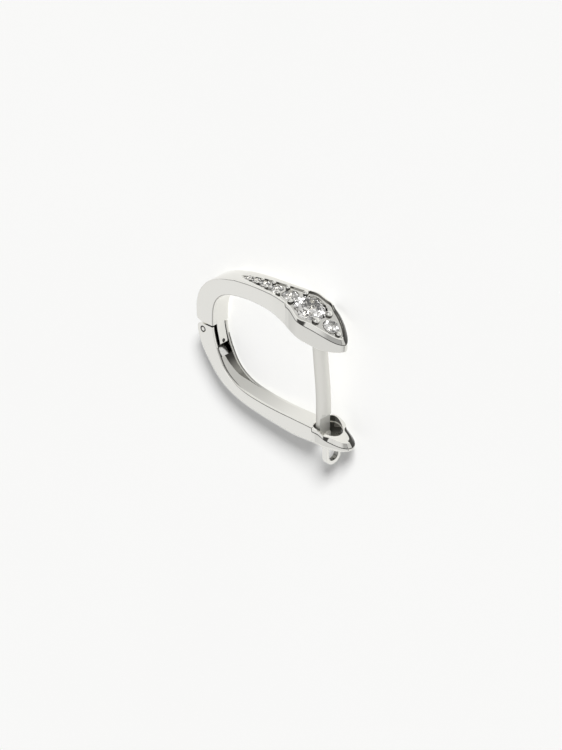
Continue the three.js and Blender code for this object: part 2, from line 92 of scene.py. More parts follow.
def from_bmesh(name, shape):
    bmesh.ops.remove_doubles(shape, verts=shape.verts, dist=1e-4)
    bmesh.ops.dissolve_degenerate(shape, edges=shape.edges, dist=1e-5)
    bmesh.ops.recalc_face_normals(shape, faces=shape.faces)
    mesh = bpy.data.meshes.new(name)
    shape.to_mesh(mesh)
    shape.free()
    return new_object(name, mesh)


def make_real(piece):
    """Turns what the modifiers make into the piece's own mesh."""
    graph = bpy.context.evaluated_depsgraph_get()
    mesh = bpy.data.meshes.new_from_object(piece.evaluated_get(graph), depsgraph=graph)
    piece.modifiers.clear()
    old, piece.data = piece.data, mesh
    bpy.data.meshes.remove(old)
    mesh.name = piece.name
    return piece


def cut(piece, cutter):
    """Takes the cutter's space out of the piece. The cutter is used up."""
    boolean = piece.modifiers.new("cut", "BOOLEAN")
    boolean.operation, boolean.solver, boolean.object = "DIFFERENCE", "EXACT", cutter
    make_real(piece)
    bpy.data.objects.remove(cutter)
    return piece


def round_edges(piece, width):
    bevel = piece.modifiers.new("round", "BEVEL")
    bevel.width, bevel.segments, bevel.limit_method = width, 3, "ANGLE"
    bevel.angle_limit = math.radians(35)
    return make_real(piece)


def marks(piece, name):
    """A number on every corner of every face, which a material can read. It starts at 0."""
    if name not in piece.data.attributes:
        piece.data.attributes.new(name, "FLOAT", "CORNER")
    return piece.data.attributes[name].data


def mark(piece, name, rule):
    """Sets a mark on each face for which the rule, given its middle and normal, has a number."""
    numbers = marks(piece, name)
    for face in piece.data.polygons:
        number = rule(face.center, face.normal)
        if number is not None:
            for corner in face.loop_indices:
                numbers[corner].value = number
    return piece


def joined(pieces, name):
    """One mesh from several closed ones, as solder makes one piece of several."""
    shape = bmesh.new()
    for piece in pieces:
        marks(piece, "recess")
        marks(piece, "satin")
        shape.from_mesh(piece.data)
        bpy.data.objects.remove(piece)
    mesh = bpy.data.meshes.new(name)
    shape.to_mesh(mesh)
    shape.free()
    return new_object(name, mesh)


def finished(piece, material, sharp=30):
    """Lays the piece down in metres, keeps its sharp edges and gives it its material."""
    piece.data.transform(lay_down)
    for face in piece.data.polygons:
        face.use_smooth = True
    piece.data.set_sharp_from_angle(angle=math.radians(sharp))
    weighted = piece.modifiers.new("even", "WEIGHTED_NORMAL")
    weighted.keep_sharp = True
    make_real(piece)
    piece.data.materials.clear()
    piece.data.materials.append(material)
    print("%s: %d faces" % (piece.name, len(piece.data.polygons)))
    return piece


def through(rows, steps):
    """Rows of numbers on a smooth curve that passes through each given row."""
    ends = [rows[0], *rows, rows[-1]]
    made = []
    for i in range(len(rows) - 1):
        a, b, c, d = ends[i:i + 4]
        for k in range(steps):
            t = k / steps
            made.append([
                0.5 * (2 * q + (r - p) * t + (2 * p - 5 * q + 4 * r - s) * t ** 2
                       + (3 * q - p - 3 * r + s) * t ** 3)
                for p, q, r, s in zip(a, b, c, d)
            ])
    return made + [list(rows[-1])]


# %% [markdown]
# ## Materials
#
# ** Rhodium-plated silver.** The arms are cast in silver, mirror polished and plated with rhodium, a
# hard white metal with a darker shine than silver. Almost nothing of it is colour: the eye reads
# the room in it. Real casting is never quite flat, so a very faint, broad ripple bends the
# reflections, and fine polishing lines a few hundredths of a millimetre apart soften them. In the
# recesses, along the feet of the rims and on the steep bevels of the pointed ends, shade and dark
# reflections are painted into the colour, which goes towards dark grey. How much is marked in the
# mesh while the arms are made, in an attribute named "recess". A second one, "satin", marks the
# ear post: it is drawn wire, and duller.

# %% Helpers for materials
MM = 1000


def linear(hex_colour):
    """An sRGB hex colour as the linear numbers that a shader takes."""
    parts = [int(hex_colour[i:i + 2], 16) / 255 for i in (1, 3, 5)]
    return (*[c / 12.92 if c <= 0.04045 else ((c + 0.055) / 1.055) ** 2.4 for c in parts], 1)


def add(tree, kind, links=(), **settings):
    """Adds a node. Settings are its properties or, by name, its inputs; links are pairs of input
    name and the socket that feeds it."""
    node = tree.nodes.new(kind)
    for name, value in settings.items():
        if hasattr(node, name):
            setattr(node, name, value)
        else:
            node.inputs[name.replace("_", " ")].default_value = value
    for name, socket in links:
        tree.links.new(socket, node.inputs[name])
    return node


def new_material(name):
    material = bpy.data.materials.new(name)
    material.use_nodes = True
    tree = material.node_tree
    shader = tree.nodes["Principled BSDF"]
    return material, tree, shader


def noise(tree, place, scale, detail=2.0):
    """Noise where a place socket says, with about so many lumps to the millimetre."""
    return add(tree, "ShaderNodeTexNoise", [("Vector", place)], Scale=scale * MM,
               Detail=detail).outputs["Fac"]


def two_tones(tree, amount, first, second):
    """From the first hex colour to the second as the amount socket goes from 0 to 1."""
    mix = add(tree, "ShaderNodeMix", [(0, amount)], data_type="RGBA")
    mix.inputs[6].default_value = linear(first)
    mix.inputs[7].default_value = linear(second)
    return mix.outputs[2]


def share_of(tree, name, share):
    """A share of the number that the mesh carries under this name."""
    carried = add(tree, "ShaderNodeAttribute", attribute_name=name)
    part = add(tree, "ShaderNodeMath", [(0, carried.outputs["Fac"])], operation="MULTIPLY")
    part.inputs[1].default_value = share
    return part.outputs[0]


# %% Rhodium-plated silver, mirror polished
rhodium, tree, shader = new_material("rhodium_plated_silver_polished")
place = add(tree, "ShaderNodeTexCoord").outputs["Object"]
# Painted shade: the "recess" mark takes the plated colour towards dark grey, standing in for shade
# and dark reflections.
tone = two_tones(tree, share_of(tree, "recess", 0.95), "#EBEAE5", "#2B2A28")
polish = add(tree, "ShaderNodeMapRange", [("Value", noise(tree, place, 14, 3.0))],
             To_Min=0.035, To_Max=0.075)
gloss = add(tree, "ShaderNodeMath", [(0, polish.outputs["Result"]),
                                     (1, share_of(tree, "satin", 0.60))], operation="ADD")
waves = add(tree, "ShaderNodeBump", [("Height", noise(tree, place, 0.6, 1.0))], Strength=0.06,
            Distance=0.00004)
tree.links.new(tone, shader.inputs["Base Color"])
tree.links.new(gloss.outputs[0], shader.inputs["Roughness"])
tree.links.new(waves.outputs["Normal"], shader.inputs["Normal"])
shader.inputs["Metallic"].default_value = 1.0
print("made", rhodium.name)

# %% [markdown]
# **Spring steel strip.** The little leaf in the hinge is rolled steel, greyer than the plating,
# with fine rolling lines.
#
# **Clear cubic zirconia.** Cut and polished like diamond. It bends light strongly (index about
# 2.17), and that fills the stone with a mosaic of light and dark. Its body is a hair off white.

# %% Spring steel and cubic zirconia
spring_steel, tree, shader = new_material("spring_steel_rolled")
place = add(tree, "ShaderNodeTexCoord").outputs["Object"]
stretch = add(tree, "ShaderNodeMapping", [("Vector", place)], Scale=(30 * MM, 2 * MM, 2 * MM))
rolling = add(tree, "ShaderNodeTexNoise", [("Vector", stretch.outputs[0])], Scale=1.0, Detail=2.0)
gloss = add(tree, "ShaderNodeMapRange", [("Value", rolling.outputs["Fac"])],
            To_Min=0.12, To_Max=0.22)
tone = two_tones(tree, rolling.outputs["Fac"], "#D4D4D2", "#E6E6E4")
tree.links.new(tone, shader.inputs["Base Color"])
tree.links.new(gloss.outputs["Result"], shader.inputs["Roughness"])
shader.inputs["Metallic"].default_value = 1.0

zirconia, tree, shader = new_material("cubic_zirconia_cut_clear")
place = add(tree, "ShaderNodeTexCoord").outputs["Object"]
tone = two_tones(tree, noise(tree, place, 1.2), "#FBFAF8", "#F8F6F2")
tree.links.new(tone, shader.inputs["Base Color"])
shader.inputs["Transmission Weight"].default_value = 1.0
shader.inputs["IOR"].default_value = 2.17
shader.inputs["Roughness"].default_value = 0.03
print("made", spring_steel.name, "and", zirconia.name)

# %% [markdown]
# ## The arms as lofts
#
# Each arm is a bent bar with a rectangular section whose edges were only just broken by the
# polishing wheel. A bar like this is best made as a loft: ribs across the arm, all with the same
# count of points, joined by quads. A rib's points run from the middle of its bottom, round the side
# and over the top, to the middle of its top. The bottom is the inner face of the upper arm and the
# outer face of the lower one. The top is where things happen: a groove for stones on the upper arm,
# a hollow for the hinge on the lower one, and the raised rims of the two pointed ends. With one
# order of points for all of them, each detail grows out of the bar without a cut.

# %% A loft through ribs
EDGE = 0.07
BOTTOM_STEPS = 7
BOTTOM_TURN = [0.5 * math.pi * i / BOTTOM_STEPS for i in range(BOTTOM_STEPS + 1)]
# Strips of a rib, counted from the middle of its bottom.
FOOT = BOTTOM_STEPS + 3, BOTTOM_STEPS + 4
BEVEL, RIM, WALL, FLOOR = (BOTTOM_STEPS + n for n in (5, 6, 7, 8))


def bottom_edge(width, room):
    """Points of a rounded bottom edge, drawn in and raised. The wider it is, the taller as well."""
    tall = min(EDGE + 3.4 * (width - EDGE), room)
    return [(width * (1 - math.sin(a)), tall * (1 - math.cos(a))) for a in BOTTOM_TURN]


def ribs_of_bar(rows, steps):
    """Each row: bottom x, z, top x, z, half width, the recess's half width and depth, and how far
    the bottom's edges are rounded."""
    ribs = []
    for bx, bz, tx, tz, half, recess_half, depth, edge in through(rows, steps):
        bottom, top = Vector((bx, 0, bz)), Vector((tx, 0, tz))
        up = (top - bottom).normalized()
        height = (top - bottom).length
        recess_half, depth = max(recess_half, 0), max(depth, 0)
        lip = min(0.09, depth)
        outline = [(0, 0)]
        outline += [(half - inset, rise) for inset, rise in bottom_edge(edge, height - 2 * EDGE)]
        outline += [(half - EDGE * (1 - math.cos(a)), height - EDGE * (1 - math.sin(a)))
                    for a in (0, math.pi / 6, math.pi / 3, math.pi / 2)]
        outline += [(min(recess_half + lip, half - EDGE), height),
                    (recess_half, height - 0.4 * lip), (recess_half, height - depth),
                    (0, height - depth)]
        ribs.append([bottom + up * h + Vector((0, y, 0)) for y, h in outline])
    return ribs


def loft(name, ribs, marked):
    """Joins the ribs and their mirror images into one closed skin. marked gives the recess mark,
    the amount of painted shade, for a rib and a strip, where strip n lies between points n and n +
    1, on side -1 or 1."""
    shape = bmesh.new()
    layer = shape.loops.layers.float.new("recess")
    loops = []
    for rib in ribs:
        right, left = ([shape.verts.new((p.x, side * p.y, p.z)) for p in rib] for side in (1, -1))
        loops.append(right + left[::-1])
    count = len(loops[0])
    for r, (low, high) in enumerate(zip(loops, loops[1:])):
        for i in range(count):
            j = (i + 1) % count
            face = shape.faces.new((low[i], low[j], high[j], high[i]))
            side = 1 if i < count / 2 else -1
            strip = min(i, j, count - 1 - i, count - 1 - j)
            for loop, rib in zip(face.loops, (r, r, r + 1, r + 1)):
                loop[layer] = marked(rib, strip, side)
    shape.faces.new(loops[0])
    shape.faces.new(loops[-1][::-1])
    return from_bmesh(name, shape)


# %% [markdown]
# ## The two pointed ends
#
# Head and tip have the same plan: straight sides that widen to a corner, then a long full curve to
# a blunt point. Every line along them is that plan drawn in by a little more: the side, the foot of
# the rim, the outer and the inner edge of its top. All of them have the same count of points, so
# they join into ribs as well. The bevel begins at the corner and turns steep within a few ribs. The
# head's rim bows up a little between its corner and its point.

# %% Lines along a pointed end
SIDE_STEPS, POINT_STEPS = 12, 34


def plan_line(end, start, side, point):
    corner = Vector((end["corner_x"] + 0.3 * side, end["corner_half"] - side))
    begin = Vector((end["start_x"], end["start_half"] - start))
    tip_x = end["tip_x"] - point
    length = tip_x - corner.x
    handles = (corner, Vector((corner.x + end["full_at"] * length, corner.y * end["full"])),
               Vector((tip_x, corner.y * end["blunt"])), Vector((tip_x, 0)))
    line = [begin.lerp(corner, i / SIDE_STEPS) for i in range(SIDE_STEPS)]
    for i in range(POINT_STEPS + 1):
        t = i / POINT_STEPS
        weights = ((1 - t) ** 3, 3 * t * (1 - t) ** 2, 3 * t ** 2 * (1 - t), t ** 3)
        line.append(sum((w * h for w, h in zip(weights, handles)), Vector((0, 0))))
    return line


def smooth(t):
    t = min(1, max(0, t))
    return t * t * (3 - 2 * t)


def end_line(end, inset=0.0, bevel=0.0, soften=2):
    """The plan of an end, drawn in all round by inset, and past the corner by the bevel as well.
    soften says how often the corner is rubbed down."""
    thin = plan_line(end, inset, inset, inset)
    wide = plan_line(end, inset, inset + bevel, inset + 0.8 * bevel)
    line = [a.lerp(b, smooth((i - SIDE_STEPS + 1) / 8)) for i, (a, b) in enumerate(zip(thin, wide))]
    for _ in range(soften):
        line[1:-1] = [0.25 * a + 0.5 * b + 0.25 * c for a, b, c in zip(line, line[1:], line[2:])]
    return line


def rim_height(end, x):
    """Height of the rim's top: the bar's own height where the end starts, then a slope, which bows
    up a little on the way."""
    along = min(1, max(0, (x - end["bow_from_x"]) / (end["bow_to_x"] - end["bow_from_x"])))
    sloping = (end["rim_z"] + end["slope"] * (x - end["rim_at_x"])
               + end["bow"] * math.sin(math.pi * along) ** 2)
    return end["start_z"] + (sloping - end["start_z"]) * smooth(
        (x - end["start_x"]) / (end["rim_at_x"] - end["start_x"]))


def ribs_of_end(end, bottom_z, edge=EDGE):
    """Ribs of a pointed end, in the same order of points as a bar's ribs."""
    foot = lambda x: rim_height(end, x) - end["rim_height"]
    top = lambda x: rim_height(end, x)
    bevel, rim, well = end["bevel"], end["rim_width"], end["well"]
    room = lambda x: 0.75 * (foot(x) - 0.06 - bottom_z(x))
    lines = [(dict(inset=inset, soften=24),
              lambda x, i=i: bottom_z(x) + bottom_edge(edge, room(x))[i][1])
             for i, (inset, _) in enumerate(bottom_edge(edge, 1))]
    lines += [
        (dict(soften=24), lambda x: foot(x) - 0.06),
        (dict(inset=0.01, soften=12), lambda x: foot(x) - 0.02),
        (dict(inset=0.05, soften=6), lambda x: foot(x)),
        (dict(inset=0.03), lambda x: foot(x) + 0.03),
        (dict(inset=0.04, bevel=bevel), top),
        (dict(inset=0.04 + rim, bevel=bevel), top),
    ]
    plans = [(end_line(end, **inset), height) for inset, height in lines]
    ribs = []
    for i in range(SIDE_STEPS + POINT_STEPS + 1):
        points = [Vector((plan[i].x, plan[i].y, height(plan[i].x))) for plan, height in plans]
        low, high = points[0], points[-1]
        floor = Vector((high.x, high.y, high.z - well))
        ribs.append([Vector((low.x, 0, low.z)), *points, floor, Vector((floor.x, 0, floor.z))])
    return ribs


NEAR, FAR = -1, 1
# Amounts of painted shade on an end, and the ribs past the corner where it starts.
ALL, SOME, TRACE = 1.0, 0.30, 0.12
BEVEL_START, FAR_START, SIDE_START = 4, 2, -8


def end_painted_shade(rib, strip, side):
    """Painted shade and painted dark reflection on an end: the foot of the rim, the bevel's
    beginning on the near side and less of it further on, the far bevel with its rim, and a trace on
    the sides."""
    past_corner = rib - SIDE_STEPS
    if strip in FOOT:
        return ALL
    if strip in (BEVEL, RIM) and side == FAR:
        return ALL if past_corner > FAR_START else 0.0
    if strip == BEVEL and past_corner >= 0:
        return ALL if past_corner <= BEVEL_START else SOME
    return TRACE if BOTTOM_STEPS <= strip < FOOT[0] and past_corner >= SIDE_START else 0.0


print("a pointed end has", SIDE_STEPS + POINT_STEPS + 1, "ribs")


# %% [markdown]
# ## Upper arm: band and head
#
# The band rises from the hinge, bends over and widens into the head. A groove for the row of small
# stones opens in its top and runs into the well of the head, inside the raised rim. The rows below
# are ribs from the hinge to the head: the inner face, the outer face, the half width, the groove
# and the rounding of the inner edges.

# %% Upper arm as one loft
# An end's plan: where it starts, its corner, its point and how full the curve between them is, then
# the height of its rim and how that runs, and the rim's own height, width and bevel.
HEAD = dict(start_x=7.15, start_half=1.27, corner_x=8.60, corner_half=1.68, tip_x=11.42,
            full=0.90, full_at=0.42, blunt=0.36, start_z=4.75, rim_z=4.32, rim_at_x=8.40,
            slope=-0.44, bow=0.20, bow_from_x=7.90, bow_to_x=11.60, rim_height=0.25,
            rim_width=0.11, bevel=0.22, well=0.12)
# Inner face x, z, outer face x, z, half width, groove's half width, depth, rounding of inner edges.
UPPER_ROWS = [
    (0.00, 0.10, -1.08, 0.10, 0.76, 0, 0, 0.07),
    (0.00, 0.18, -1.38, 0.22, 0.76, 0, 0, 0.07),
    (0.00, 0.50, -1.50, 0.52, 0.76, 0, 0, 0.07),
    (0.05, 1.35, -1.47, 1.50, 0.77, 0, 0, 0.07),
    (0.28, 2.08, -1.12, 2.56, 0.78, 0, 0, 0.07),
    (0.76, 2.66, -0.35, 3.44, 0.80, 0, 0, 0.07),
    (1.45, 3.06, 0.70, 4.02, 0.84, 0, 0, 0.07),
    (2.20, 3.28, 1.90, 4.38, 0.88, 0, 0, 0.07),
    (2.50, 3.35, 2.30, 4.47, 0.89, 0.18, 0.13, 0.07),
    (3.80, 3.50, 3.70, 4.66, 0.94, 0.48, 0.13, 0.07),
    (5.50, 3.46, 5.50, 4.76, 1.02, 0.72, 0.13, 0.07),
    (6.60, 3.25, 6.60, 4.76, 1.17, 0.92, 0.13, 0.07),
    (7.05, 3.14, 7.05, 4.74, 1.245, 1.04, 0.13, 0.07),
]
INNER_FACE = [(7.05, 3.14), (7.60, 3.00), (9.00, 2.72), (10.30, 2.34), (11.90, 2.20)]


def height_on(points, x):
    """Height of a smooth line at x."""
    line = through(points, 12)
    for (x0, z0), (x1, z1) in zip(line, line[1:]):
        if x0 <= x <= x1:
            return z0 + (z1 - z0) * (x - x0) / (x1 - x0)
    return line[-1][1]


def cap_ribs(ribs, onward, inset=0.03):
    """Rounds the edge of the flat end where a bar starts. The first rib is drawn in towards its
    middle in two steps, and the ribs that the rounding takes up are left out."""
    first = ribs[0]
    xs = [point.x for point in first]
    middle_x, half_x = (min(xs) + max(xs)) / 2, (max(xs) - min(xs)) / 2
    rounded = []
    for share, height in ((1.0, 0.0), (0.3, 0.3), (0.0, 1.0)):
        inside = inset * share
        rounded.append([
            Vector((middle_x + (point.x - middle_x) * (1 - inside / half_x),
                    point.y - inside if point.y > 0.6 else point.y,
                    point.z + onward * inset * height))
            for point in first
        ])
    start = first[0].z
    later = [rib for rib in ribs[1:]
             if min(abs(rib[1].z - start), abs(rib[BEVEL - 1].z - start)) > 1.2 * inset]
    return rounded + later


upper_bar = cap_ribs(ribs_of_bar(UPPER_ROWS, 8), 1)
upper_ribs = upper_bar + ribs_of_end(HEAD, lambda x: height_on(INNER_FACE, x))


def upper_painted_shade(rib, strip, side):
    """Painted shade on the upper arm: its inner edge on the near side, the groove and the head's
    well.
    """
    if rib < len(upper_bar):
        if 0 < strip < BOTTOM_STEPS and side == NEAR:
            return 0.45
        groove = upper_ribs[rib][WALL].z - upper_ribs[rib][FLOOR].z > 0.04
        return {WALL: 0.30, FLOOR: 0.25}.get(strip, 0.0) if groove else 0.0
    end_rib = rib - len(upper_bar)
    # Past the corner, the far wall of the head's well gets almost no painted shade.
    far_wall_kept_light = side == FAR and end_rib - SIDE_STEPS > FAR_START
    well = {WALL: 0.05 if far_wall_kept_light else 0.8, FLOOR: 0.35}
    return well[strip] if strip in well else end_painted_shade(end_rib, strip, side)


band = loft("band", upper_ribs, upper_painted_shade)
print("band and head:", len(upper_ribs), "ribs,", len(band.data.polygons), "faces")

# %% [markdown]
# ## Brilliants and their seats
#
# A round brilliant has a flat table, eight kites and eight stars round it, sixteen small facets
# down to the girdle, and below it eight long mains and sixteen lower halves that meet in a point.
# A few shares of the diameter settle all of them, so the cut can be written as a rule. The setter
# drills a cone for each stone. Those seats are cut from the metal with one boolean, and the stones
# are placed by Geometry Nodes: points with a diameter and a slope, one cut stone as the instance.

# %% The cut of a brilliant, for a diameter of one
CROWN, GIRDLE, PAVILION, TABLE = 0.15, 0.03, 0.42, 0.56
# Each stone's place along the band and its diameter.
STONES = {
    "centre_stone": (8.17, 2.28),
    "tip_stone": (10.12, 1.10),
    "band_stone_1": (2.62, 0.50),
    "band_stone_2": (3.30, 0.60),
    "band_stone_3": (4.12, 0.74),
    "band_stone_4": (5.16, 0.92),
    "band_stone_5": (6.42, 1.12),
}


def brilliant():
    """A cut stone with the upper edge of its girdle at height 0."""
    around = lambda radius, step, z: Vector((radius * math.cos(step * math.pi / 8),
                                             radius * math.sin(step * math.pi / 8), z))
    half_step = math.cos(math.pi / 8)
    star, low = 0.38, 0.11
    star_z = CROWN * (0.5 - star * half_step) / (0.5 - 0.5 * TABLE)
    low_z = -GIRDLE - (PAVILION - GIRDLE) * (0.5 - low * half_step) / 0.5
    shape = bmesh.new()
    table = [shape.verts.new(around(0.5 * TABLE, 2 * k, CROWN)) for k in range(8)]
    stars = [shape.verts.new(around(star, 2 * k + 1, star_z)) for k in range(8)]
    rim = [shape.verts.new(around(0.5, k, 0)) for k in range(16)]
    edge = [shape.verts.new(around(0.5, k, -GIRDLE)) for k in range(16)]
    lows = [shape.verts.new(around(low, 2 * k + 1, low_z)) for k in range(8)]
    point = shape.verts.new((0, 0, -PAVILION))
    shape.faces.new(table)
    for k in range(8):
        n, here, there, beyond = (k + 1) % 8, 2 * k, 2 * k + 1, (2 * k + 2) % 16
        shape.faces.new((table[k], stars[k], table[n]))
        shape.faces.new((table[k], stars[k - 1], rim[here], stars[k]))
        shape.faces.new((stars[k], rim[here], rim[there]))
        shape.faces.new((stars[k], rim[there], rim[beyond]))
        shape.faces.new((rim[here], edge[here], edge[there], rim[there]))
        shape.faces.new((rim[there], edge[there], edge[beyond], rim[beyond]))
        shape.faces.new((point, lows[k - 1], edge[here], lows[k]))
        shape.faces.new((lows[k], edge[here], edge[there]))
        shape.faces.new((lows[k], edge[there], edge[beyond]))
    return from_bmesh("brilliant_cut", shape)


def turned(profile, sides, name):
    """A closed solid turned on a lathe about Z, from rows of radius and height."""
    shape = bmesh.new()
    rows = []
    for radius, z in profile:
        if radius == 0:
            rows.append([shape.verts.new((0, 0, z))] * sides)
        else:
            rows.append([shape.verts.new((radius * math.cos(2 * math.pi * k / sides),
                                          radius * math.sin(2 * math.pi * k / sides), z))
                         for k in range(sides)])
    for low, high in zip(rows, rows[1:]):
        for k in range(sides):
            corners = [low[k], low[(k + 1) % sides], high[(k + 1) % sides], high[k]]
            corners = list(dict.fromkeys(corners))
            if len(corners) > 2:
                shape.faces.new(corners)
    return from_bmesh(name, shape)


cut_stone = brilliant()
print("a brilliant has", len(cut_stone.data.polygons), "facets")

# %% Where stones and beads sit on the metal
BAND_TOP = [(row[2], row[3]) for row in UPPER_ROWS if row[2] > 0]
SEAT_GAP = 0.04


def setting(x):
    """Height and slope of the metal at x, and how far a stone's table stands above it."""
    if x > BAND_TOP[-1][0]:
        slope = (rim_height(HEAD, x + 0.05) - rim_height(HEAD, x - 0.05)) / 0.1
        return rim_height(HEAD, x), max(slope, HEAD["slope"]), 0.10
    z = height_on(BAND_TOP, x)
    return z, (height_on(BAND_TOP, x + 0.1) - z) / 0.1, 0.02


def stone_frame(x, diameter):
    """Where a stone sits, and how far it leans with the metal."""
    z, slope, above = setting(x)
    return Matrix.Translation((x, 0, z + above - CROWN * diameter)) @ Matrix.Rotation(
        -math.atan(slope), 4, "Y")


def seat_cutter(x, diameter):
    """The cone that the setter drills for a stone, a little wider than the stone."""
    radius, table = 0.5 * diameter + SEAT_GAP, 0.5 * TABLE * diameter + SEAT_GAP
    top = CROWN * diameter + 0.5
    profile = [(0, -PAVILION * diameter - 1.5 * SEAT_GAP),
               (radius, -GIRDLE * diameter - SEAT_GAP), (radius, SEAT_GAP),
               (table + 0.25 * diameter, top), (0, top)]
    seat = turned(profile, 48, "seat")
    seat.data.transform(stone_frame(x, diameter))
    return seat


cut(band, joined([seat_cutter(x, diameter) for x, diameter in STONES.values()], "seats"))
print("band with its seats:", len(band.data.polygons), "faces")

# %% [markdown]
# The stones themselves come from a small node tree. Its input is a handful of bare points, each
# with a diameter and a tilt. It sets one instance of the cut stone on every point, makes the
# instances real and gives them their material. The same tree sets the beads later, with another
# instance.

# %% A node tree that sets pieces on points
def group_input(tree, name, kind, default=None):
    socket = tree.interface.new_socket(name=name, in_out="INPUT", socket_type=kind)
    if default is not None:
        socket.default_value = default
    return socket


def set_on_points_tree():
    tree = bpy.data.node_groups.new("set_on_points", "GeometryNodeTree")
    group_input(tree, "Points", "NodeSocketGeometry")
    group_input(tree, "Piece", "NodeSocketObject")
    group_input(tree, "Finish", "NodeSocketMaterial")
    group_input(tree, "Size", "NodeSocketFloat", 1.0)
    tree.interface.new_socket(name="Set", in_out="OUTPUT", socket_type="NodeSocketGeometry")
    start = add(tree, "NodeGroupInput")
    piece = add(tree, "GeometryNodeObjectInfo", [("Object", start.outputs["Piece"])])
    points = add(tree, "GeometryNodeMeshToPoints", [("Mesh", start.outputs["Points"])])
    size = add(tree, "GeometryNodeInputNamedAttribute", data_type="FLOAT")
    size.inputs["Name"].default_value = "size"
    tilt = add(tree, "GeometryNodeInputNamedAttribute", data_type="FLOAT_VECTOR")
    tilt.inputs["Name"].default_value = "tilt"
    scaled = add(tree, "ShaderNodeMath", [(0, size.outputs["Attribute"]),
                                          (1, start.outputs["Size"])], operation="MULTIPLY")
    placed = add(tree, "GeometryNodeInstanceOnPoints",
                 [("Points", points.outputs["Points"]), ("Instance", piece.outputs["Geometry"]),
                  ("Rotation", tilt.outputs["Attribute"]), ("Scale", scaled.outputs[0])])
    real = add(tree, "GeometryNodeRealizeInstances", [("Geometry", placed.outputs["Instances"])])
    coated = add(tree, "GeometryNodeSetMaterial", [("Geometry", real.outputs["Geometry"]),
                                                   ("Material", start.outputs["Finish"])])
    add(tree, "NodeGroupOutput", [("Set", coated.outputs["Geometry"])])
    return tree


def run_tree(piece, tree, **inputs):
    """Runs a node tree on the piece, with its inputs given by name, and makes the result real."""
    modifier = piece.modifiers.new("nodes", "NODES")
    modifier.node_group = tree
    sockets = {item.name: item.identifier for item in tree.interface.items_tree
               if item.in_out == "INPUT"}
    for name, value in inputs.items():
        modifier[sockets[name]] = value
    return make_real(piece)


set_on_points = set_on_points_tree()


def set_pieces(name, places, piece, material):
    """places: rows of position, size and tilt about the band's width."""
    mesh = bpy.data.meshes.new(name)
    mesh.from_pydata([place for place, size, tilt in places], [], [])
    sizes = mesh.attributes.new("size", "FLOAT", "POINT")
    tilts = mesh.attributes.new("tilt", "FLOAT_VECTOR", "POINT")
    for i, (place, size, tilt) in enumerate(places):
        sizes.data[i].value = size
        tilts.data[i].vector = (0, tilt, 0)
    return run_tree(new_object(name, mesh), set_on_points, Piece=piece, Finish=material)


# %% Set the stones
def stone_place(x, diameter):
    return stone_frame(x, diameter).translation, diameter, -math.atan(setting(x)[1])


for name, nodes in (("centre_brilliant", ["centre_stone"]), ("tip_brilliant", ["tip_stone"]),
                    ("pave_brilliants", ["band_stone_%d" % n for n in range(1, 6)])):
    places = [stone_place(*STONES[node]) for node in nodes]
    stones = finished(set_pieces(name, places, cut_stone, zirconia), zirconia, sharp=1)
    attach(stones, "front")
    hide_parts(*nodes)
bpy.data.objects.remove(cut_stone)

# %% [markdown]
# ## Beads
#
# Between the stones the setter raises beads from the metal with a graver and rounds each one with a
# cupped tool. They come in pairs, one on each side of the row, and grow towards the head. Two
# single ones close the row at the point. They are turned once, as a stem with a dome, and set by
# the same node tree.

# %% Raise the beads
# Place along the band, distance from its middle, radius; and the same without a distance.
BEAD_PAIRS = [(2.96, 0.20, 0.11), (3.68, 0.26, 0.13), (4.60, 0.36, 0.15), (5.76, 0.48, 0.17),
              (7.12, 0.74, 0.20), (9.34, 0.63, 0.26)]
TIP_BEADS = [(10.76, 0.20), (11.08, 0.09)]

dome = [(math.cos(a), -0.25 + math.sin(a)) for a in (math.radians(d) for d in range(-20, 90, 15))]
bead = turned([(0, -3.4), (1.0, -3.4), (0.86, -0.8)] + dome + [(0, 0.75)], 20, "bead")
# Painted shade on the lower part of each bead, where it rises from the metal.
mark(bead, "recess", lambda middle, normal: 0.9 if middle.z < -0.2 else None)


def bead_place(x, y, radius):
    height, slope, _ = setting(x)
    return Vector((x, y, height)), radius, -math.atan(slope)


bead_places = [bead_place(x, side * y, radius) for x, y, radius in BEAD_PAIRS for side in (-1, 1)]
bead_places += [bead_place(x, 0, radius) for x, radius in TIP_BEADS]
beads = set_pieces("beads", bead_places, bead, rhodium)
bpy.data.objects.remove(bead)
print(len(bead_places), "beads,", len(beads.data.polygons), "faces")

# %% [markdown]
# ## Wires and strips
#
# The ear post is drawn wire, the guard under the lower arm and the spring in the hinge are strips.
# All three are one section carried along a line, so one node tree makes them: a rectangle whose
# corners are rounded, up to a full circle for the wire. The line is drawn flat, with its normals
# upright, so that the strip never twists, and is stood up afterwards.

